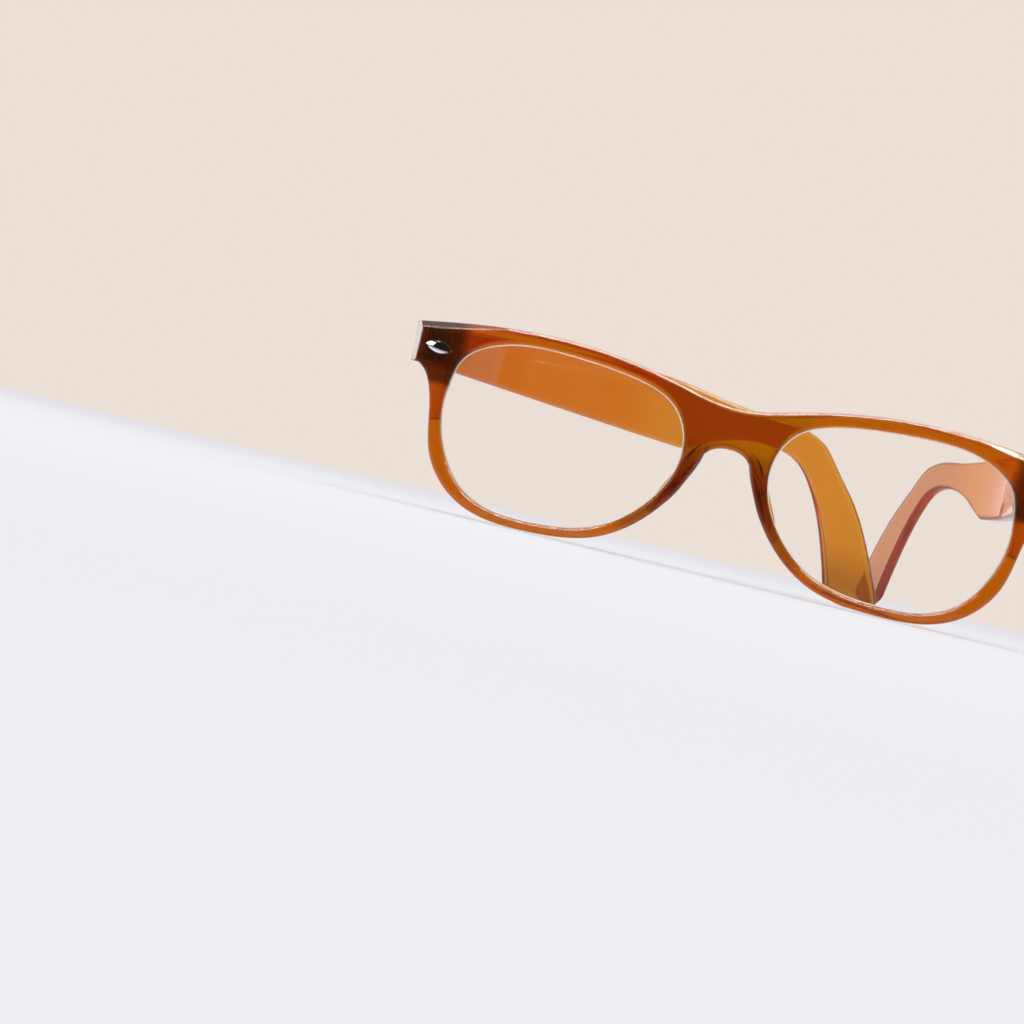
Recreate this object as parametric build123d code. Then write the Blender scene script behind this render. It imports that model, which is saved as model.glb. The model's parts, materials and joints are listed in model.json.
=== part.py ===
from build123d import *
from math import asin, atan2, cos, degrees, radians, sin, sqrt
import os

# Full-rim acetate spectacles, in millimetres.
# Drawing frame: X to the viewer's right, Y from the front face back to the ears, Z up along the front,
# with X = 0 at the bridge.  The finished pieces are tipped and lifted so that the two rims and the folded-in
# temple's tip stand on Z = 0, with the origin under the middle of the whole length.

# --- front ---------------------------------------------------------------------------------------------
lens_width = 50.5
lens_height = 35.3
bridge_width = 18.2
lens_centre_z = -4.8
front_width = 138.8
front_radius = 220.0
front_thickness = 4.2
edge_round = 0.8
opening_round = 0.6
bridge_top_z = 10.0
nose_arch_z = 1.55
nose_half_gap = 5.6
rim_temple_side = 4.3
rim_corner = 2.5
rim_under = 1.85
rim_nose_corner = 2.3
brow_height = 2.75
end_top_z = 12.8
end_bottom_z = 4.4
end_block_depth = 14.6
end_block_width = 9.1
end_slant = 1.8
end_bevel_width = 1.5
end_bevel_run = 18.0

# --- lenses --------------------------------------------------------------------------------------------
lens_thickness = 1.6
lens_depth = 1.4
groove_depth = 0.5
lens_gap = 0.05

# --- nose pads -----------------------------------------------------------------------------------------
pad_length = 17.0
pad_width = 3.0
pad_height = 4.0
pad_root = 5.0
pad_splay = 9.0
pad_lean = 25.0
pad_offset = 0.5
pad_drop = 1.5

# --- end-piece studs -----------------------------------------------------------------------------------
stud_length = 5.9
stud_width = 2.3
stud_height = 0.9
stud_crown = 0.45
stud_sink = 0.7
stud_tilt = -6.0
stud_inset = 6.3
stud_drop = 4.5
stud_pin_radius = 0.6
fit_gap = 0.02

# --- hinges --------------------------------------------------------------------------------------------
knuckle_radius = 1.35
knuckle_height = 1.2
knuckle_count = 5
knuckle_gap = 0.05
screw_radius = 0.6
screw_clearance = 0.04
screw_head_radius = 1.1
screw_head_height = 0.5
screw_slot = 0.3
leaf_thickness = 0.8
leaf_height = 6.8
front_leaf_width = 5.0
temple_leaf_length = 8.0
temple_leaf_depth = 0.7
hinge_standoff = 1.7

# --- temples -------------------------------------------------------------------------------------------
temple_thickness = 4.1
bow_thickness = 3.3
ear_thickness = 2.4
temple_dip = 6.3
butt_gap = 0.15
root_height = 8.3
blade_length = 71.0
blade_height = 14.2
bend_distance = 94.0
neck_height = 6.4
bow_start = 52.0
bow_radius = 70.0
bow_angle = 18.3
temple_round = 0.9

# --- pose of the stored object -------------------------------------------------------------------------
left_fold = 47.4
right_fold = 3.8

lens_centre_x = (bridge_width + lens_width) / 2
half_width = front_width / 2
end_mid_z = (end_top_z + end_bottom_z) / 2
hinge_x = half_width - temple_thickness - hinge_standoff
hinge_y = end_block_depth + hinge_standoff
back = Vector(0, 1, 0)


def at(x, z):
    return Vector(x, 0, z)


def front_depth(x):
    """Y of the curved front face at a distance x from the bridge."""
    return front_radius - sqrt(front_radius**2 - x**2)


def curved_layer(near, far):
    """The slice of the front's curve between two depths behind its front face."""
    outer = Cylinder(front_radius - near, 120)
    inner = Cylinder(front_radius - far, 130)
    return Pos(0, front_radius, 0) * (outer - inner)


def behind(depth):
    """Everything further back than a depth behind the front face."""
    return Pos(0, front_radius, 0) * Cylinder(front_radius - depth, 120)


def prism(edges, start=-2.0, depth=42.0):
    face = make_face(edges)
    return extrude(Pos(0, start, 0) * face, depth, dir=back)


# The lens opening as shares of its half width and half height, from the temple side downwards.
opening_shape = [
    (1.000, 0.280), (0.913, -0.416), (0.659, -0.842), (0.065, -1.000), (-0.450, -0.865), (-0.846, -0.405),
    (-1.000, 0.291), (-0.869, 0.689), (-0.465, 0.924), (0.065, 1.000), (0.644, 0.930), (0.937, 0.650),
]


def opening_edge():
    corners = [
        at(lens_centre_x + u * lens_width / 2, lens_centre_z + v * lens_height / 2) for u, v in opening_shape
    ]
    return Spline(*corners, periodic=True)


def beside_opening(edge, point, distance):
    """A point at a distance outside the opening, square to its edge."""
    along = edge % edge.param_at_point(point)
    outward = along.cross(back).normalized()
    if outward.dot(point - at(lens_centre_x, lens_centre_z)) < 0:
        outward = -outward
    return point + outward * distance


def ring(distance, samples=36):
    """The opening's edge moved outwards by a distance."""
    edge = opening_edge()
    if distance == 0:
        return edge
    points = [beside_opening(edge, edge @ (i / samples), distance) for i in range(samples)]
    return Spline(*points, periodic=True)


def opening_point(index):
    u, v = opening_shape[index]
    return at(lens_centre_x + u * lens_width / 2, lens_centre_z + v * lens_height / 2)


def front_half_outline():
    """Right half of the front, closed along the middle of the bridge."""
    edge = opening_edge()
    widths = [
        rim_temple_side, (rim_temple_side + rim_under) / 2, rim_corner, rim_under, (rim_under + rim_nose_corner) / 2,
        rim_nose_corner,
    ]
    lower = [beside_opening(edge, opening_point(i), width) for i, width in enumerate(widths)]
    nose = at(nose_half_gap * 1.35, nose_arch_z - 9.2)
    arch_foot = at(nose_half_gap * 0.95, nose_arch_z - 3.6)
    arch_top = at(0, nose_arch_z)
    brow = [opening_point(i) + at(0, brow_height) for i in (8, 9)]
    brow_end = opening_point(10) + at(0, brow_height + 0.9)
    bridge_side = at(10.5, bridge_top_z + 1.7)
    end_top = at(half_width, end_top_z)
    end_bottom = at(half_width - 0.5, end_bottom_z)
    step = at(half_width - 2.4, end_bottom_z)
    step_turn = at(half_width - 4.2, end_bottom_z - 1.4)
    top = Spline(at(0, bridge_top_z), bridge_side, *brow, brow_end, end_top, tangents=[(1, 0, 0), (9, 0, -1.4)])
    side = Line(end_top, end_bottom)
    ledge = Line(end_bottom, step)
    rim = Spline(step, step_turn, *lower, nose, arch_foot)
    arch = Spline(arch_foot, arch_top, tangents=[rim % 1, (-1, 0, 0)])
    middle = Line(arch_top, at(0, bridge_top_z))
    return [top, side, ledge, rim, arch, middle]


def large_faces(half):
    """The half's front face and back face."""
    return half.faces().filter_by(GeomType.CYLINDER).sort_by(SortBy.AREA)[-2:]


def front_plate():
    """Right half of the curved plate, rounded along its outside but not at the middle of the bridge."""
    plate = prism(front_half_outline()) & curved_layer(0, front_thickness)
    edges = [edge for face in large_faces(plate) for edge in face.outer_wire().edges()]
    return fillet([edge for edge in edges if edge.center().X > 0.01], edge_round)


def end_block():
    """Thicker pad behind each end piece, flat at the back for the temple to close on."""
    block = Pos(half_width - end_block_width / 2, 0, end_mid_z) * Box(end_block_width, 2 * end_block_depth, 30)
    return prism(front_half_outline()) & block & behind(front_thickness / 2)


def end_cuts():
    """Slanted end of the front, and the bevel that runs out along its top edge."""
    y = front_depth(half_width - end_slant)
    slope = degrees(atan2(end_slant, end_block_depth - y))
    side = Pos(half_width, end_block_depth, 0) * Rot(Z=-slope) * Pos(20, 0, 0) * Box(40, 120, 80)
    near = front_depth(half_width)
    corner = Vector(half_width, near + end_bevel_width, end_top_z + 0.2)
    low = Vector(half_width, near - 0.2, end_top_z - end_bevel_width)
    run_out = Vector(half_width - end_bevel_run, front_depth(half_width - end_bevel_run), end_top_z + 1.7)
    plane = Plane(origin=run_out, x_dir=corner - run_out, z_dir=(low - run_out).cross(corner - run_out))
    bevel = plane * Pos(0, 0, 10) * Box(80, 80, 20)
    return side + bevel


def stud_place():
    x = half_width - stud_inset
    slope = degrees(asin(x / front_radius))
    return Pos(x, front_depth(x), end_top_z - stud_drop) * Rot(Z=slope) * Rot(Y=stud_tilt)


def almond(length, width, front, depth):
    """Prism with a pointed oval section, running back from a depth in front of the face."""
    radius = (length**2 + width**2) / (4 * width)
    shift = radius - width / 2
    disc = Rot(X=90) * Cylinder(radius, depth)
    return Pos(0, depth / 2 - front, 0) * ((Pos(0, 0, shift) * disc) & (Pos(0, 0, -shift) * disc))


def stud_head(gap=0.0):
    return almond(stud_length + 2 * gap, stud_width + 2 * gap, stud_height, stud_height + stud_sink + gap)


def stud_dome():
    """Smooth dome that the stud's head is cut to, lowest at the points and along the sides."""
    dome = scale(Sphere(1), by=(stud_length * 0.66, stud_height + stud_crown, stud_width * 0.72))
    return Pos(0, stud_crown, 0) * dome + Pos(0, 5 + stud_crown / 2, 0) * Box(20, 10, 20)


def stud_pin(gap=0.0):
    length = end_block_depth - leaf_thickness - front_depth(half_width - stud_inset)
    return Pos(0, length / 2, 0) * Rot(X=90) * Cylinder(stud_pin_radius + gap, length - fit_gap)


def stud():
    return stud_place() * ((stud_head() & stud_dome()) + stud_pin())


def stud_pocket():
    return stud_place() * (stud_head(fit_gap) + stud_pin(fit_gap))


def front_leaf_plate(gap=0.0):
    size = Box(front_leaf_width + 2 * gap, leaf_thickness + gap, leaf_height + 2 * gap)
    return Pos(hinge_x, end_block_depth - (leaf_thickness + gap) / 2, end_mid_z) * size


def front():
    half = front_plate() + end_block()
    trim = Pos(half_width, end_block_depth + 20, 0) * Box(2 * end_block_width, 40, 60)
    half = half - trim
    half = half - prism([ring(0)])
    groove = prism([ring(groove_depth)]) & curved_layer(lens_depth - lens_gap, lens_depth + lens_thickness + lens_gap)
    half = half - groove
    half = fillet([face.inner_wires()[0].edge() for face in large_faces(half)], opening_round)
    half = half - end_cuts()
    whole = half + mirror(half, Plane.YZ)
    pockets = stud_pocket() + front_leaf_plate(fit_gap)
    return whole - pockets - mirror(pockets, Plane.YZ)


def lens():
    return prism([ring(groove_depth - lens_gap)]) & curved_layer(lens_depth, lens_depth + lens_thickness)


def nose_pad():
    """Shallow cap of a long oval, bonded to the back of the rim beside the nose."""
    depth = pad_root + pad_height
    share = sqrt(1 - (pad_root / depth) ** 2)
    oval = scale(Sphere(1), by=(pad_width / 2 / share, depth, pad_length / 2 / share))
    x = bridge_width / 2 - pad_offset
    place = Pos(x, front_thickness + front_depth(x), lens_centre_z - pad_drop)
    return (place * Rot(Y=-pad_lean) * Rot(Z=-pad_splay) * Pos(0, -pad_root, 0) * oval) & behind(front_thickness)


def knuckle_z(index):
    stack = knuckle_count * knuckle_height + (knuckle_count - 1) * knuckle_gap
    return end_mid_z - stack / 2 + knuckle_height / 2 + index * (knuckle_height + knuckle_gap)


def hinge_axis(z=0.0):
    return Pos(hinge_x, hinge_y, z)


def front_leaf():
    """Plate let into the back of the end piece, with every other knuckle of the hinge."""
    leaf = front_leaf_plate()
    reach = hinge_standoff + leaf_thickness / 2
    for i in range(0, knuckle_count, 2):
        web = Pos(0, -reach / 2, 0) * Box(2.0, reach, knuckle_height)
        leaf = leaf + hinge_axis(knuckle_z(i)) * (Cylinder(knuckle_radius, knuckle_height) + web)
    return leaf - hinge_axis(end_mid_z) * Cylinder(screw_radius + screw_clearance, 20)


def temple_leaf_plate(gap=0.0):
    """Plate sunk inside the temple, below its inner face."""
    size = Box(leaf_thickness + 2 * gap, temple_leaf_length + 2 * gap, leaf_height + 2 * gap)
    x = hinge_x + hinge_standoff + temple_leaf_depth + leaf_thickness / 2
    return Pos(x, hinge_y + temple_leaf_length / 2 - 0.9, end_mid_z) * size


def temple_leaf_webs(gap=0.0):
    reach = hinge_standoff + temple_leaf_depth + leaf_thickness / 2
    size = Box(reach, 1.8 + 2 * gap, knuckle_height + 2 * gap)
    return [hinge_axis(knuckle_z(i)) * Pos(reach / 2, 0, 0) * size for i in range(1, knuckle_count, 2)]


def temple_leaf():
    """Sunk plate with the knuckles that sit between the front leaf's."""
    leaf = temple_leaf_plate() + temple_leaf_webs()
    for i in range(1, knuckle_count, 2):
        leaf = leaf + hinge_axis(knuckle_z(i)) * Cylinder(knuckle_radius, knuckle_height)
    return leaf - hinge_axis(end_mid_z) * Cylinder(screw_radius + screw_clearance, 20)


def hinge_screw():
    bottom = knuckle_z(0) - knuckle_height / 2
    top = knuckle_z(knuckle_count - 1) + knuckle_height / 2
    shank = hinge_axis((bottom + top) / 2) * Cylinder(screw_radius, top - bottom)
    head = hinge_axis(top + screw_head_height / 2) * Cylinder(screw_head_radius, screw_head_height)
    slot = hinge_axis(top + screw_head_height) * Box(3, screw_slot, screw_head_height)
    return shank + head - slot


def temple_side():
    """Side view of a temple: s runs back from the hinge, h up.  The blade widens, steps up to a neck and bends."""
    def p(s, h):
        return Vector(0, s, h)

    low = -root_height / 2
    corner_h = low + 2.9
    neck_low = corner_h + blade_height - neck_height - 0.4
    neck_top = neck_low + neck_height
    b = bend_distance
    start = p(-4, low - 0.15)
    heel = p(blade_length, corner_h)
    under = Line(start, heel)
    inner_ear = Spline(
        heel, p(blade_length + 7.6, corner_h + 4.0), p(b - 8, neck_low - 0.6), p(b - 1, neck_low),
        p(b + 4.4, neck_low - 1.3), p(b + 8.6, neck_low - 4.9), p(b + 16.6, neck_low - 18.6), p(b + 19.6, neck_low - 26),
        tangents=[(0, 1, 0.35), (0, 2.2, -6)],
    )
    tip = Spline(
        p(b + 19.6, neck_low - 26), p(b + 25.0, neck_low - 29.0), p(b + 30.6, neck_low - 28.0),
        p(b + 32.6, neck_low - 24.9), tangents=[(0, 2.2, -6), (0, -3.2, 5.6)],
    )
    outer_ear = Spline(
        p(b + 32.6, neck_low - 24.9), p(b + 26.5, neck_top - 20.8), p(b + 19.9, neck_top - 11.9),
        p(b + 13.2, neck_top - 5.3), p(b + 9.3, neck_top - 1.8), p(b + 4.6, neck_top - 0.2), p(b - 11, neck_top - 0.2),
        tangents=[(0, -3.2, 5.6), (0, -1, 0)],
    )
    upper = Spline(
        p(b - 11, neck_top - 0.2), p(blade_length - 3, corner_h + blade_height), p(45, corner_h + blade_height - 1.7),
        p(20, root_height / 2 + 3.3), p(-4, root_height / 2 - 0.5), tangents=[(0, -1, 0), (0, -1, -0.17)],
    )
    close = Line(p(-4, root_height / 2 - 0.5), start)
    return make_face([under, inner_ear, tip, outer_ear, upper, close])


def temple_plan():
    """Plan of a temple: straight to bow_start, then bowed in towards the head, and thinning all the way."""
    a = radians(bow_angle)
    far = 170.0

    def on_bow(angle, offset):
        r = bow_radius + offset
        return Vector(-bow_radius + r * cos(angle), bow_start + r * sin(angle), 0)

    after = Vector(-sin(a), cos(a), 0)

    def side(root, start, end):
        first = Vector(root, -4, 0)
        second = Vector(start, bow_start, 0)
        third = on_bow(a, end)
        last = third + after * (far - third.Y) / cos(a)
        bow = Spline(second, on_bow(a / 2, (start + end) / 2), third, tangents=[second - first, after])
        return Line(first, second), bow, Line(third, last)

    inner = side(0.0, 0.0, 0.0)
    outer = side(temple_thickness, bow_thickness, ear_thickness)
    ends = [Line(inner[0] @ 0, outer[0] @ 0), Line(inner[2] @ 1, outer[2] @ 1)]
    return make_face([*inner, *outer, *ends])


def temple():
    side = extrude(Pos(-60, 0, 0) * temple_side(), 80, dir=(1, 0, 0))
    plan = extrude(Pos(0, 0, -60) * temple_plan(), 100, dir=(0, 0, 1))
    body = side & plan
    long_edges = body.edges().filter_by(lambda e: e.center().Y > 0.0 and e.length > 3.7)
    body = fillet(long_edges, temple_round)
    body = Pos(hinge_x + hinge_standoff, hinge_y, end_mid_z) * Rot(X=-temple_dip) * body
    butt = end_block_depth + butt_gap
    body = body - Pos(hinge_x, butt - 20, 0) * Box(40, 40, 60)
    return body - temple_leaf_plate(fit_gap) - temple_leaf_webs(fit_gap)


def folded(piece, side):
    """Mirror a right-hand temple piece for the left side and fold it in by that side's angle."""
    if side == "left":
        piece = mirror(piece, Plane.YZ)
        return Pos(-hinge_x, hinge_y, 0) * Rot(Z=-left_fold) * Pos(hinge_x, -hinge_y, 0) * piece
    return Pos(hinge_x, hinge_y, 0) * Rot(Z=right_fold) * Pos(-hinge_x, -hinge_y, 0) * piece


def pieces():
    fixed = {"front_frame": front()}
    handed = {
        "lens": lens(), "nose_pad": nose_pad(), "end_stud": stud(), "front_hinge_leaf": front_leaf(),
        "hinge_screw": hinge_screw(),
    }
    moving = {"temple": temple(), "temple_hinge_leaf": temple_leaf()}
    for name, piece in handed.items():
        fixed["right_" + name] = piece
        fixed["left_" + name] = mirror(piece, Plane.YZ)
    for name, piece in moving.items():
        for side in ("right", "left"):
            fixed[f"{side}_{name}"] = folded(piece, side)
    return fixed


def standing(solids):
    """Tip and lift everything so that the rims and the left tip stand on Z = 0, centred on the origin."""
    rim = solids["front_frame"].bounding_box().min
    rim_y = front_depth(lens_centre_x)
    tip_z = solids["left_temple"].bounding_box().min.Z
    low_tip = solids["left_temple"].vertices().sort_by(Axis.Z)[0]
    tilt = atan2(rim.Z - tip_z, low_tip.Y - rim_y)
    turned = {name: Rot(X=degrees(tilt)) * piece for name, piece in solids.items()}
    boxes = [piece.bounding_box() for piece in turned.values()]
    lift = -min(box.min.Z for box in boxes)
    middle = (min(box.min.Y for box in boxes) + max(box.max.Y for box in boxes)) / 2
    pivot = (Pos(0, -middle, lift) * Rot(X=degrees(tilt)) * hinge_axis(end_mid_z)).position
    print("stand tilt", round(degrees(tilt), 4), "lift", round(lift, 4), "middle", round(middle, 4))
    print("right hinge at", [round(value, 4) for value in (pivot.X, pivot.Y, pivot.Z)])
    return {name: Pos(0, -middle, lift) * piece for name, piece in turned.items()}


os.makedirs("parts", exist_ok=True)
for name, piece in standing(pieces()).items():
    export_step(piece, f"parts/{name}.step")
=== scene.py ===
import bmesh, bpy, json, math
from mathutils import Matrix, Vector

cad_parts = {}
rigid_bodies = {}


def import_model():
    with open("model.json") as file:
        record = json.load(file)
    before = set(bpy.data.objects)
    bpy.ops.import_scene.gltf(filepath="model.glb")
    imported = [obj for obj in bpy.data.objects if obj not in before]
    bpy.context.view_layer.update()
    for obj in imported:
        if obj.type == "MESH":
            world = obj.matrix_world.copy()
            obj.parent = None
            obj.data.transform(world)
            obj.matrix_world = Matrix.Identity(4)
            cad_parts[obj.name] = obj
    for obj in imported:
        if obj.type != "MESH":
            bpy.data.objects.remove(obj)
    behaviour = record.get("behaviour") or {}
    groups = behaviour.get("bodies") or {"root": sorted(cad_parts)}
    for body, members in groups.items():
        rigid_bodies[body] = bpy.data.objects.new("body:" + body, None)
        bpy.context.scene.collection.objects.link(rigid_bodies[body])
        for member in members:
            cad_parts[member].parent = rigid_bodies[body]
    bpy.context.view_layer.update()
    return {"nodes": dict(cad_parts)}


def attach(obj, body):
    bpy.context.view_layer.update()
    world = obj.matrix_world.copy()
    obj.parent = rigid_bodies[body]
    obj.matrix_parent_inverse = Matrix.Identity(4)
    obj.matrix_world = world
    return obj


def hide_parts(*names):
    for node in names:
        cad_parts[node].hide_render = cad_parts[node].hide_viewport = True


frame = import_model()
nodes = frame["nodes"]


class Sock:
    # one output socket of a node tree, so shader maths reads as sums
    def __init__(self, tree, out=None):
        self.tree, self.out = tree, out

    def node(self, kind, settings=None, inputs=None, output=0):
        # a new node: its settings first, then the values or links of its sockets
        made = self.tree.nodes.new("ShaderNode" + kind)
        for name, value in (settings or {}).items():
            setattr(made, name, value)
        for name, value in (inputs or {}).items():
            if isinstance(value, Sock):
                self.tree.links.new(value.out, made.inputs[name])
            else:
                made.inputs[name].default_value = value
        return Sock(self.tree, made.outputs[output] if made.outputs else None)

    def maths(self, how, first, second=0.0):
        return self.node("Math", {"operation": how}, {0: first, 1: second})

    def __add__(self, other): return self.maths("ADD", self, other)
    def __radd__(self, other): return self.maths("ADD", other, self)
    def __sub__(self, other): return self.maths("SUBTRACT", self, other)
    def __rsub__(self, other): return self.maths("SUBTRACT", other, self)
    def __mul__(self, other): return self.maths("MULTIPLY", self, other)
    def __rmul__(self, other): return self.maths("MULTIPLY", other, self)
    def __abs__(self): return self.maths("ABSOLUTE", self)

    def root(self):
        return self.maths("SQRT", self)

    def larger(self, other):
        return self.maths("MAXIMUM", self, other)

    def above(self, limit):
        # 1 above the limit, else 0
        return self.maths("GREATER_THAN", self, limit)

    def axis(self, index):
        # 0, 1 or 2 for x, y or z of a place
        return self.node("SeparateXYZ", {}, {0: self}, index)

    def ramp(self, start, end):
        # 0 at start, 1 at end, smooth between; start may be the greater of the two
        settings = {"interpolation_type": "SMOOTHSTEP"}
        return self.node("MapRange", settings, {"Value": self, 1: start, 2: end})

    def blend(self, first, second, how="MIX"):
        # this socket is the factor from the first colour to the second
        settings = {"data_type": "RGBA", "blend_type": how, "clamp_factor": True}
        return self.node("Mix", settings, {0: self, 6: first, 7: second}, 2)

    def noise(self, scale, detail=3.0, rough=0.5):
        inputs = {"Vector": self, "Scale": scale, "Detail": detail, "Roughness": rough}
        return self.node("TexNoise", {}, inputs)

    def streaks(self, spread, detail=3.0, rough=0.5):
        # noise with its own scale along x, y and z
        spaced = self.node("VectorMath", {"operation": "MULTIPLY"}, {0: self, 1: spread})
        return spaced.noise(1.0, detail, rough)

    def bump(self, strength, distance, onto=None):
        inputs = {"Strength": strength, "Distance": distance, "Height": self}
        if onto:
            inputs["Normal"] = onto
        return self.node("Bump", {}, inputs)


def rgb(red, green, blue):
    # screen colour, 0 to 255, as the linear value a socket takes
    def linear(value):
        value /= 255
        return value / 12.92 if value < 0.04045 else ((value + 0.055) / 1.055) ** 2.4
    return (linear(red), linear(green), linear(blue), 1.0)


def newMaterial(name):
    # the material, its empty tree, and the place on the piece in metres
    material = bpy.data.materials.new(name)
    material.use_nodes = True
    material.node_tree.nodes.clear()
    base = Sock(material.node_tree)
    return material, base, base.node("TexCoord", output="Object")


# acetate: clear amber that darkens with thickness, a little milk in it, worn polish;
# swirl, smudge and waver are (scale, detail, roughness), streak and scratch are scales
# along x, y and z, and an edge is where a pattern starts and ends
frontAcetate = {
    "tint": (1.0, 0.97, 0.90, 1.0),
    "tintDeep": (0.95, 0.88, 0.76, 1.0),
    "swirl": (60.0, 4.0, 0.55),
    "streak": (30.0, 30.0, 160.0),
    "streakDetail": 2.0,
    "swirlShare": 0.6,
    "streakShare": 0.4,
    "deepFrom": 0.35,
    "deepGain": 2.2,
    "through": (0.945, 0.782, 0.0, 1.0),  # the colour light takes on inside
    "density": 1900.0,  # and how fast it takes it on
    "milk": (0.42, 0.085, 0.006, 1.0),
    "milkShare": 0.08,
    "milkSwirl": 0.08,
    "milkRough": 0.3,
    "ior": 1.49,
    "rough": 0.03,
    "smudge": (90.0, 5.0, 0.6),
    "smudgeEdge": (0.48, 0.75),
    "smudgeRough": 0.03,
    "scratch": (900.0, 60.0, 4000.0),
    "scratchDetail": 2.0,
    "scratchEdge": (0.66, 0.74),
    "scratchRough": 0.04,
    "scratchHeight": 0.5,
    "waver": (35.0, 1.0),
    "relief": (0.05, 0.00002),  # strength and depth of the bump
    "softEdge": 0.0007,
    "edgeSamples": 4,
    # deeper colour in the built-up end pieces, the bridge and the nose sides;
    # each limit is (axis, from, to) in metres, and the two sides are alike
    "zones": [
        {"where": [(0, 0.0560, 0.0592), (2, 0.0250, 0.0266)], "tint": (0.17, 0.15, 0.20, 1.0)},
        {"where": [(0, 0.0200, 0.0120)], "tint": (0.80, 1.0, 1.0, 1.0)},
        {"where": [(0, 0.0205, 0.0165), (2, 0.0268, 0.0245)], "tint": (0.68, 0.58, 0.8, 1.0)},
    ],
}

# temples: paler and milkier, with a pale, rougher bed round the hinge, and painted shade
# darker down the ear ends and from the middle of the blades back
templeAcetate = dict(
    frontAcetate,
    through=(0.974, 0.725, 0.0, 1.0),
    density=1250.0,
    milk=(0.50, 0.22, 0.07, 1.0),
    milkShare=0.17,
    softEdge=0.0003,
    zones=[
        # painted shade: darker towards the bottom, where the ear ends come near the floor
        {"where": [(2, 0.017, 0.004)], "tint": (0.60, 0.55, 0.60, 1.0)},
        # painted shade: darker from the middle of the blades back
        {"where": [(1, 0.022, 0.045)], "tint": (0.76, 0.66, 0.78, 1.0)},
    ],
    hinge={
        "place": (0.0636, -0.0537),  # of the pin, across and along
        "near": 0.0175,
        "far": 0.0185,
        "milk": (0.70, 0.50, 0.36, 1.0),
        "rough": 0.45,
        "share": 0.12,
        "grain": (200.0, 200.0, 1500.0),
        "grainFrom": 0.8,
        "grainSpan": 0.4,
    },
)

noseAcetate = dict(
    frontAcetate,
    through=(0.945, 0.80, 0.0, 1.0),
    density=1500.0,
    milkShare=0.06,
    softEdge=0.0003,
    zones=[],
)


def acetateMaterial(name, look):
    material, base, place = newMaterial(name)
    swirl = place.noise(*look["swirl"])
    streak = place.streaks(look["streak"], look["streakDetail"])
    cloud = swirl * look["swirlShare"] + streak * look["streakShare"]
    deep = (cloud - look["deepFrom"]) * look["deepGain"]
    tint = deep.blend(look["tint"], look["tintDeep"])
    # each zone multiplies the colour: deeper colour on the front, painted shade on the temples
    for zone in look["zones"]:
        inZone = 1.0
        for axis, start, end in zone["where"]:
            spot = place.axis(axis)
            inZone = (abs(spot) if axis == 0 else spot).ramp(start, end) * inZone
        tint = inZone.blend(tint, zone["tint"], "MULTIPLY")
    smudge = place.noise(*look["smudge"]).ramp(*look["smudgeEdge"])
    scratch = place.streaks(look["scratch"], look["scratchDetail"]).ramp(*look["scratchEdge"])
    rough = smudge * look["smudgeRough"] + scratch * look["scratchRough"] + look["rough"]
    softened = base.node("Bevel", {"samples": look["edgeSamples"]}, {"Radius": look["softEdge"]})
    uneven = scratch * look["scratchHeight"] + place.noise(*look["waver"])
    polish = uneven.bump(*look["relief"], softened)
    clear = base.node("BsdfPrincipled", {}, {
        "Base Color": tint, "Roughness": rough, "IOR": look["ior"],
        "Transmission Weight": 1.0, "Normal": polish,
    })
    milk = base.node("BsdfPrincipled", {}, {
        "Base Color": look["milk"], "Roughness": look["milkRough"], "IOR": look["ior"],
        "Normal": polish,
    })
    share = swirl * look["milkSwirl"] + (look["milkShare"] - look["milkSwirl"] / 2)
    body = base.node("MixShader", {}, {0: share, 1: clear, 2: milk})
    if "hinge" in look:
        body = hingeHaze(base, place, body, look["hinge"])
    absorbed = {"Color": look["through"], "Density": look["density"]}
    inside = base.node("VolumeAbsorption", {}, absorbed)
    base.node("OutputMaterial", {}, {"Surface": body, "Volume": inside})
    return material


def hingeHaze(base, place, body, bed):
    # a paler, rougher patch of acetate round the hinge pin, on either temple
    pinAcross, pinAlong = bed["place"]
    aside, along = abs(place.axis(0)) - pinAcross, place.axis(1) - pinAlong
    near = (aside * aside + along * along).root().ramp(bed["far"], bed["near"])
    grain = place.streaks(bed["grain"]) * bed["grainSpan"] + bed["grainFrom"]
    paleBed = base.node("BsdfPrincipled", {}, {"Base Color": bed["milk"], "Roughness": bed["rough"]})
    return base.node("MixShader", {}, {0: near * grain * bed["share"], 1: body, 2: paleBed})


# lenses: clear, with faint wiping smears; the low index stands for an antireflection coating
lensGlass = {
    "tint": (0.997, 1.0, 0.998, 1.0),
    "ior": 1.18,
    "wipe": (60.0, 60.0, 260.0),
    "wipeDetail": 5.0,
    "wipeRough": 0.6,
    "wipeEdge": (0.55, 0.9),
    "smear": 0.02,
}


def lensMaterial(name, look):
    material, base, place = newMaterial(name)
    wipe = place.streaks(look["wipe"], look["wipeDetail"], look["wipeRough"])
    rough = wipe.ramp(*look["wipeEdge"]) * look["smear"]
    shader = base.node("BsdfPrincipled", {}, {
        "Base Color": look["tint"], "Roughness": rough, "IOR": look["ior"],
        "Transmission Weight": 1.0,
    })
    base.node("OutputMaterial", {}, {"Surface": shader})
    return material


# ground bevel round each lens, near white so that it also stands as a painted highlight along the
# lens edge: a bead this deep, set in from the lens's front edge
lensBevelHighlight = {
    "white": rgb(250, 244, 238),
    "warm": rgb(238, 214, 196),
    "patches": (120.0, 2.0),
    "patchEdge": (0.4, 0.6),
    "grit": 5000.0,
    "gritRough": 0.2,
    "rough": 0.35,
    "relief": (0.2, 0.00002),
    "depth": 0.00017,
    "inset": 0.00052,
    "roundness": 3,
    "weld": 1e-6,
    "sharpFrom": 0.9,  # radians between the faces at the lens's edge
}


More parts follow.
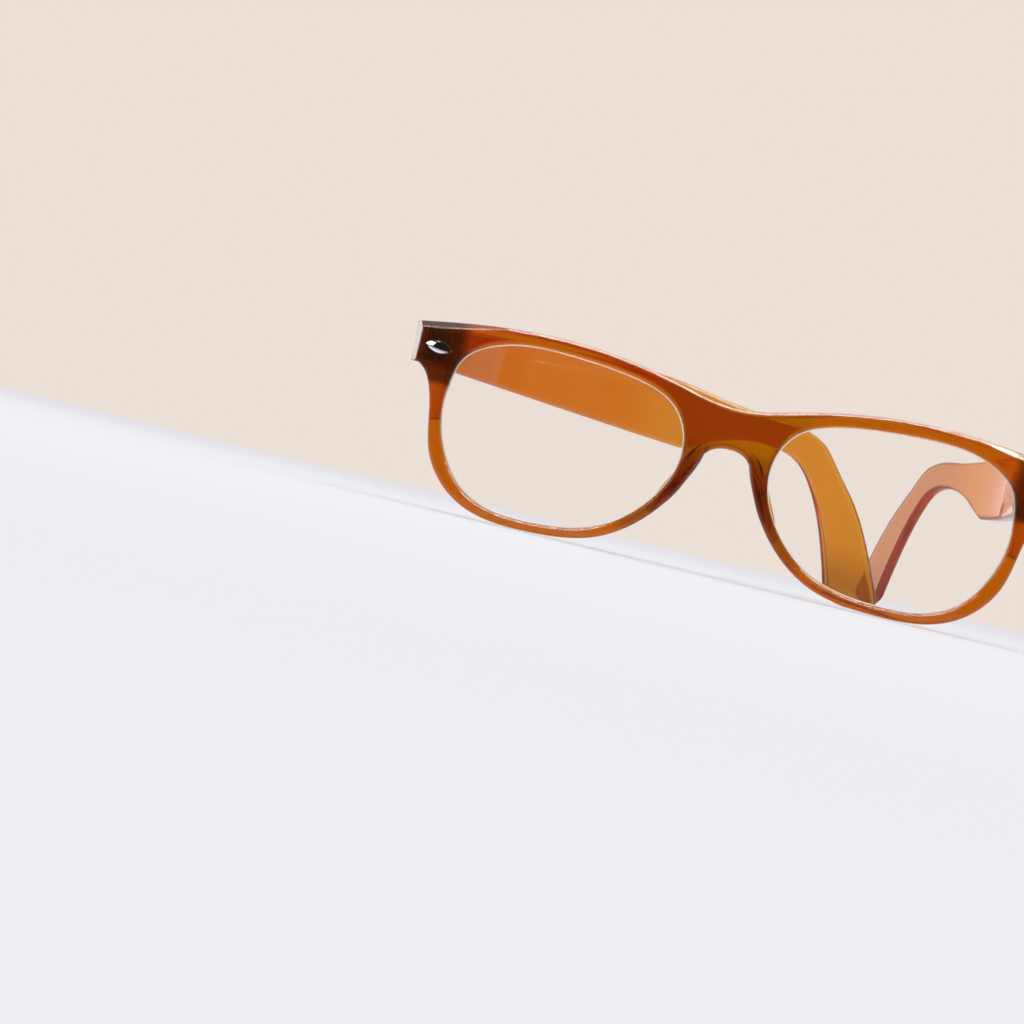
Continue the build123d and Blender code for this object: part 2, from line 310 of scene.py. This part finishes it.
def bevelMaterial(name, look):
    material, base, place = newMaterial(name)
    grit = place.noise(look["grit"])
    patches = place.noise(*look["patches"]).ramp(*look["patchEdge"])
    shader = base.node("BsdfPrincipled", {}, {
        # near white: the ground edge, partly a painted highlight
        "Base Color": patches.blend(look["white"], look["warm"]),
        "Roughness": grit * look["gritRough"] + look["rough"],
        "Normal": grit.bump(*look["relief"]),
    })
    base.node("OutputMaterial", {}, {"Surface": shader})
    return material


# metal: polished studs, brushed hinge plates and screws
studChrome = {
    "colour": (0.90, 0.90, 0.92, 1.0),
    "dull": (0.74, 0.74, 0.76, 1.0),
    "rough": 0.05,
    "brush": (900.0, 900.0, 2600.0),
    "brushRough": 0.8,  # this and the next two are shares of the roughness
    "wearRough": 0.5,
    "leastRough": 0.3,
    "wear": 700.0,
    "wearEdge": (0.5, 0.7),
    "relief": (0.1, 0.00001),
}
hingeNickel = dict(
    studChrome,
    colour=(0.50, 0.47, 0.43, 1.0),
    dull=(0.36, 0.33, 0.30, 1.0),
    rough=0.28,
    brush=(2600.0, 300.0, 300.0),
)


def metalMaterial(name, look):
    material, base, place = newMaterial(name)
    brushed = place.streaks(look["brush"])
    worn = place.noise(look["wear"])
    shares = brushed * look["brushRough"] + worn * look["wearRough"] + look["leastRough"]
    shader = base.node("BsdfPrincipled", {}, {
        "Base Color": worn.ramp(*look["wearEdge"]).blend(look["colour"], look["dull"]),
        "Metallic": 1.0, "Roughness": shares * look["rough"],
        "Normal": brushed.bump(*look["relief"]),
    })
    base.node("OutputMaterial", {}, {"Surface": shader})
    return material


finishes = {
    "frontAcetate": acetateMaterial("frontAcetate", frontAcetate),
    "templeAcetate": acetateMaterial("templeAcetate", templeAcetate),
    "noseAcetate": acetateMaterial("noseAcetate", noseAcetate),
    "clearLens": lensMaterial("clearLens", lensGlass),
    "groundBevel": bevelMaterial("groundBevel", lensBevelHighlight),
    "studChrome": metalMaterial("studChrome", studChrome),
    "hingeNickel": metalMaterial("hingeNickel", hingeNickel),
}
print("materials", sorted(finishes))


# the first of these words found in a node's name gives its finish
finishOf = {
    "lens": "clearLens",
    "stud": "studChrome",
    "hinge": "hingeNickel",
    "temple": "templeAcetate",
    "pad": "noseAcetate",
    "front_frame": "frontAcetate",
}

for nodeName, piece in nodes.items():
    word = next(word for word in finishOf if word in nodeName)
    piece.data.materials.clear()
    piece.data.materials.append(finishes[finishOf[word]])
print("dressed", len(nodes), "pieces")


# how the drawing, in mm with the front along X, stands in the scene
stance = {"tilt": 2.0267, "shift": (0.0, -69.6439, 24.3819), "toMetres": 0.001}
stanceTurn = Matrix.Rotation(math.radians(stance["tilt"]), 3, "X")


def drawn(x, y, z):
    return (stanceTurn @ Vector((x, y, z)) + Vector(stance["shift"])) * stance["toMetres"]


def newObject(name, data):
    made = bpy.data.objects.new(name, data)
    bpy.context.scene.collection.objects.link(made)
    return made


def newPiece(name, data, finish, body):
    piece = newObject(name, data)
    data.materials.append(finishes[finish])
    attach(piece, body)
    return piece


def lensLoop(nodeName, look):
    # corners of the lens's front edge, in order
    shape = bmesh.new()
    shape.from_mesh(nodes[nodeName].data)
    bmesh.ops.remove_doubles(shape, verts=shape.verts, dist=look["weld"])
    nextTo = {}
    for edge in shape.edges:
        if len(edge.link_faces) == 2 and edge.calc_face_angle() > look["sharpFrom"]:
            first, second = edge.verts
            nextTo.setdefault(first.index, []).append(second.index)
            nextTo.setdefault(second.index, []).append(first.index)
    shape.verts.ensure_lookup_table()
    loops = []
    while nextTo:
        loop, here = [], next(iter(nextTo))
        while here in nextTo:
            loop.append(here)
            here = next((other for other in nextTo.pop(here) if other in nextTo), None)
        loops.append([shape.verts[index].co.copy() for index in loop])
    shape.free()
    longest = sorted(loops, key=len)[-2:]  # the front edge and the back one
    return min(longest, key=lambda loop: sum(point.y for point in loop) / len(loop))


def lensBead(name, nodeName, look):
    # a bead on the lens face, just inside the rim
    loop = lensLoop(nodeName, look)
    middle = sum(loop, Vector()) / len(loop)
    curve = bpy.data.curves.new(name, "CURVE")
    curve.dimensions = "3D"
    curve.bevel_depth = look["depth"]
    curve.bevel_resolution = look["roundness"]
    spline = curve.splines.new("POLY")
    spline.points.add(len(loop) - 1)
    for index, point in enumerate(loop):
        along = (loop[(index + 1) % len(loop)] - loop[index - 1]).normalized()
        inward = along.cross(Vector((0.0, 1.0, 0.0))).normalized()
        if inward.dot(middle - point) < 0:
            inward = -inward
        spline.points[index].co = (*(point + inward * look["inset"]), 1.0)
    spline.use_cyclic_u = True
    newPiece(name, curve, "groundBevel", "front")


for side in ("left", "right"):
    lensBead(side + "LensBevel", side + "_lens", lensBevelHighlight)
print("lens bevels laid")


# nose pads: long smooth caps grown out of the back of the rim; mm and degrees
nosePad = {
    "across": 1.55,
    "along": 9.0,
    "out": 4.0,
    "bend": 0.011,
    "lean": 25.0,
    "splay": 9.0,
    "middle": (8.6, -6.3),
    "rimBack": 215.8,  # radius of the rim's back face, round the centre below
    "rimCentre": 220.0,
    "rooted": 0.45,
    "endPower": 3,
    "endTaper": 0.6,
    "tip": 0.04,
    "swell": 2,
    "crown": 0.8,
    "stations": 26,
    "corners": 14,
    "rounding": 2,
}


def nosePadPiece(name, sign, nodeName, look):
    lean = Matrix.Rotation(-math.radians(look["lean"]), 3, "Y")
    turn = lean @ Matrix.Rotation(-math.radians(look["splay"]), 3, "Z")

    def rimBackAt(x):
        return look["rimCentre"] - math.sqrt(look["rimBack"] ** 2 - x ** 2)

    x, z = look["middle"]
    root = Vector((x, rimBackAt(x), z))

    def onPad(u, v, out):
        # u along the pad, v across it, out from the back of the rim;
        # the lower half bends with the rim
        bend = Vector((look["bend"] * min(u, 0.0) ** 2, 0.0, 0.0))
        spot = root + turn @ Vector((v, 0.0, u)) + bend
        lift = turn @ Vector((0.0, out, 0.0))
        return drawn(sign * (spot.x + lift.x), rimBackAt(spot.x) + lift.y, spot.z + lift.z)

    shape = bmesh.new()
    angles = [math.pi * corner / (look["corners"] - 1) for corner in range(look["corners"])]
    rings = []
    for station in range(look["stations"] + 1):
        share = 2.0 * station / look["stations"] - 1.0
        taper = (1.0 - abs(share) ** look["endPower"]) ** look["endTaper"]
        wide = look["across"] * taper + look["tip"]
        high = look["out"] * (1.0 - share ** 2) ** look["swell"]
        profile = [
            (wide * math.cos(angle), high * abs(math.sin(angle)) ** look["crown"])
            for angle in angles
        ]
        profile += [(-wide, -look["rooted"]), (wide, -look["rooted"])]
        rings.append([shape.verts.new(onPad(share * look["along"], v, out)) for v, out in profile])
    for first, second in zip(rings, rings[1:]):
        for corner, point in enumerate(first):
            after = (corner + 1) % len(first)
            shape.faces.new((point, second[corner], second[after], first[after]))
    shape.faces.new(rings[0])
    shape.faces.new(list(reversed(rings[-1])))
    bmesh.ops.recalc_face_normals(shape, faces=shape.faces)
    for face in shape.faces:
        face.smooth = True
    mesh = bpy.data.meshes.new(name)
    shape.to_mesh(mesh)
    shape.free()
    pad = newPiece(name, mesh, "noseAcetate", "front")
    pad.modifiers.new("round", "SUBSURF").render_levels = look["rounding"]
    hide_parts(nodeName)


nosePadPiece("leftNosePad", -1, "left_nose_pad", nosePad)
nosePadPiece("rightNosePad", 1, "right_nose_pad", nosePad)
print("nose pads grown")


# room: pale floor and backdrop all round, but a reflection sees it dark in front;
# a turn is where that changes, along Y
room = {
    "dome": (1.0, 0.985, 0.97, 1.0),
    "back": rgb(236, 224, 215),
    "front": (0.012, 0.011, 0.010, 1.0),
    "turn": (-0.35, 0.15),
    "floor": rgb(229, 230, 236),
    "floorWorn": rgb(227, 228, 234),
    "floorHalf": 6.0,
    "floorTurn": (-0.14, -0.07),
    "mottle": (6.0, 2.0),
    "mottleEdge": (0.3, 0.7),
    "grain": 40.0,
    "grainRough": 0.1,
    "rough": 0.85,
}


def shinyRay(base):
    # 1 for a ray that has just left a mirror or passed into or out of a clear piece
    glossy = base.node("LightPath", output="Is Glossy Ray")
    return glossy.larger(base.node("LightPath", output="Is Transmission Ray"))


def mirroredRay(base):
    # 1 for such a ray with a reflection on its way, inside a piece or out
    mirrors = base.node("LightPath", output="Glossy Depth")
    return shinyRay(base) * mirrors.above(0.5)


def floorPiece(look):
    material, base, place = newMaterial("paleFloor")
    mottle = place.noise(*look["mottle"]).ramp(*look["mottleEdge"])
    pale = mottle.blend(look["floor"], look["floorWorn"])
    inFront = 1.0 - place.axis(1).ramp(*look["floorTurn"])
    shader = base.node("BsdfPrincipled", {}, {
        "Base Color": (mirroredRay(base) * inFront).blend(pale, look["front"]),
        "Roughness": place.noise(look["grain"]) * look["grainRough"] + look["rough"],
        "Specular IOR Level": 0.0,
    })
    base.node("OutputMaterial", {}, {"Surface": shader})
    mesh = bpy.data.meshes.new("floor")
    half = look["floorHalf"]
    corners = [(-half, -half, 0), (half, -half, 0), (half, half, 0), (-half, half, 0)]
    mesh.from_pydata(corners, [], [(0, 1, 2, 3)])
    mesh.materials.append(material)
    newObject("floor", mesh)


def worldLight(look):
    # the dome lights the scene; the camera and every shiny ray see the backdrop instead
    world = bpy.data.worlds.new("studio")
    bpy.context.scene.world = world
    world.use_nodes = True
    world.node_tree.nodes.clear()
    base = Sock(world.node_tree)
    behind = base.node("TexCoord", output="Generated").axis(1).ramp(*look["turn"])
    shown = (mirroredRay(base) * (1.0 - behind)).blend(look["back"], look["front"])
    dome = base.node("Background", {}, {"Color": look["dome"], "Strength": 1.0})
    view = base.node("Background", {}, {"Color": shown, "Strength": 1.0})
    looked = base.node("LightPath", output="Is Camera Ray").larger(shinyRay(base))
    both = base.node("MixShader", {}, {0: looked, 1: dome, 2: view})
    base.node("OutputWorld", {}, {"Surface": both})


# topBox and sideBox light the scene with the dome; a lamp with gleam shows only in
# reflections, and one with only reaches just the pieces with that word in their finish
lampWhite = (1.0, 0.98, 0.96)
lamps = {
    "topBox": {
        "place": (-0.1, -0.25, 0.8), "aim": (0.0, -0.05, 0.02),
        "size": (0.9, 0.4), "power": 1.0,
    },
    "sideBox": {
        "place": (-0.8, -0.35, 0.3), "aim": (0.0, -0.05, 0.02),
        "size": (0.4, 0.5), "power": 0.4,
    },
    "edgeStrip": {
        "place": (0.0, -0.20, 0.78), "aim": (0.0, -0.05, 0.03),
        "size": (1.35, 0.50), "power": 42.0, "gleam": True, "only": "acetate",
    },
    "endStrip": {
        "place": (-0.265, 0.165, 0.045), "aim": (-0.07, -0.06, 0.03),
        "size": (0.10, 0.12), "power": 0.09, "gleam": True,
    },
    "bladeCard": {
        "place": (-0.25, 0.50, 0.05), "aim": (0.07, 0.0, 0.03),
        "size": (0.46, 0.20), "power": 0.20, "gleam": True,
    },
    "leftCard": {
        "place": (-0.55, -0.20, 0.16), "aim": (-0.06, -0.06, 0.03),
        "size": (0.42, 0.45), "power": 1.5, "gleam": True,
    },
}


def softbox(name, look):
    lamp = bpy.data.lights.new(name, "AREA")
    lamp.shape = "RECTANGLE"
    lamp.size, lamp.size_y = look["size"]
    lamp.energy = look["power"]
    lamp.color = lampWhite
    holder = newObject(name, lamp)
    holder.location = look["place"]
    towards = Vector(look["aim"]) - Vector(look["place"])
    holder.rotation_euler = towards.to_track_quat("-Z", "Y").to_euler()
    if "gleam" in look:
        holder.visible_diffuse = holder.visible_camera = holder.visible_transmission = False
    if "only" in look:
        reached = bpy.data.collections.new(name + "Reach")
        for piece in bpy.data.objects:
            if piece.type == "MESH":
                finish = " ".join(used.name.lower() for used in piece.data.materials if used)
                if look["only"] in finish:
                    reached.objects.link(piece)
        holder.light_linking.receiver_collection = reached


floorPiece(room)
worldLight(room)
for lampName, look in lamps.items():
    softbox(lampName, look)
print("room lit by", len(lamps), "lamps")


# camera: its place in the drawing, and its own right and up
cameraSet = {
    "place": (7.98, -575.96, 0.0),
    "right": (0.968694, 0.088774, 0.231842),
    "up": (-0.234118, 0.016005, 0.972076),
    "lens": 100.0,
    "film": 36.0,
    "clip": (0.01, 50.0),
}


def cameraPiece(look):
    right, up = stanceTurn @ Vector(look["right"]), stanceTurn @ Vector(look["up"])
    data = bpy.data.cameras.new("camera")
    data.lens, data.sensor_width = look["lens"], look["film"]
    data.clip_start, data.clip_end = look["clip"]
    holder = newObject("camera", data)
    holder.matrix_world = Matrix((right, up, right.cross(up))).transposed().to_4x4()
    holder.matrix_world.translation = drawn(*look["place"])
    bpy.context.scene.camera = holder


cameraPiece(cameraSet)
bpy.context.scene.view_settings.view_transform = "Standard"
